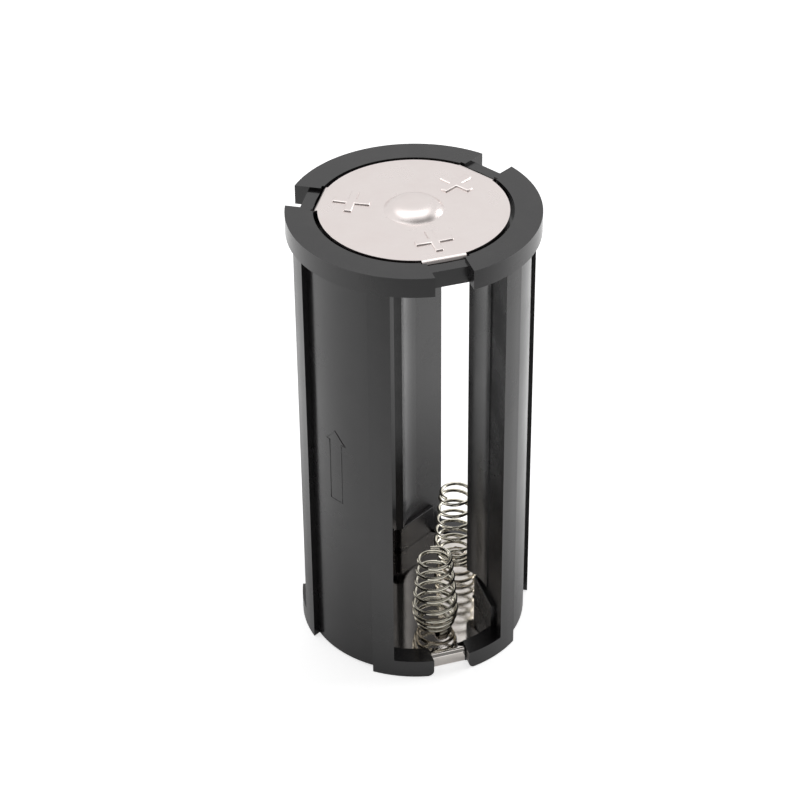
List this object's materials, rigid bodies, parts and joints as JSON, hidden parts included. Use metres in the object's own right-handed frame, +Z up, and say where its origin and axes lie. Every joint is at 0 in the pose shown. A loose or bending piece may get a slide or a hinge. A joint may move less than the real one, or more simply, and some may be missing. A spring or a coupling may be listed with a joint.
{
  "type": "cylindrical cell holder",
  "caption": "Round open-sided holder that clasps cylindrical cells upright between conical springs in the base and a domed contact disc in the top ring.",
  "frame": {"origin": "middle of the base's underside, on the holder's axis", "axes": "+Z up along the holder's axis towards the domed top contact; one open bay faces -Y"},
  "size_m": [0.042, 0.0418, 0.0843],
  "materials": {
    "black_abs": "satin",
    "nickel_sheet": "satin",
    "bright_sheet": "mirror",
    "spring_wire": "polished"
  },
  "bodies": {
    "holder": {"frame": "black_abs", "top_ring": "black_abs", "top_contact": "nickel_sheet", "bottom_contact": "bright_sheet"},
    "spring_1": {"spring_1": "spring_wire"},
    "spring_2": {"spring_2": "spring_wire"},
    "spring_3": {"spring_3": "spring_wire"}
  },
  "joints": [
    {"name": "spring_1_press", "type": "slide", "parent": "holder", "child": "spring_1", "axis": [0, 0, 1], "range_m": [-0.01, 0], "stiffness_N_per_m": 1000, "deforming": ["spring_1"]},
    {"name": "spring_2_press", "type": "slide", "parent": "holder", "child": "spring_2", "axis": [0, 0, 1], "range_m": [-0.01, 0], "stiffness_N_per_m": 1000, "deforming": ["spring_2"]},
    {"name": "spring_3_press", "type": "slide", "parent": "holder", "child": "spring_3", "axis": [0, 0, 1], "range_m": [-0.01, 0], "stiffness_N_per_m": 1000, "deforming": ["spring_3"]}
  ]
}
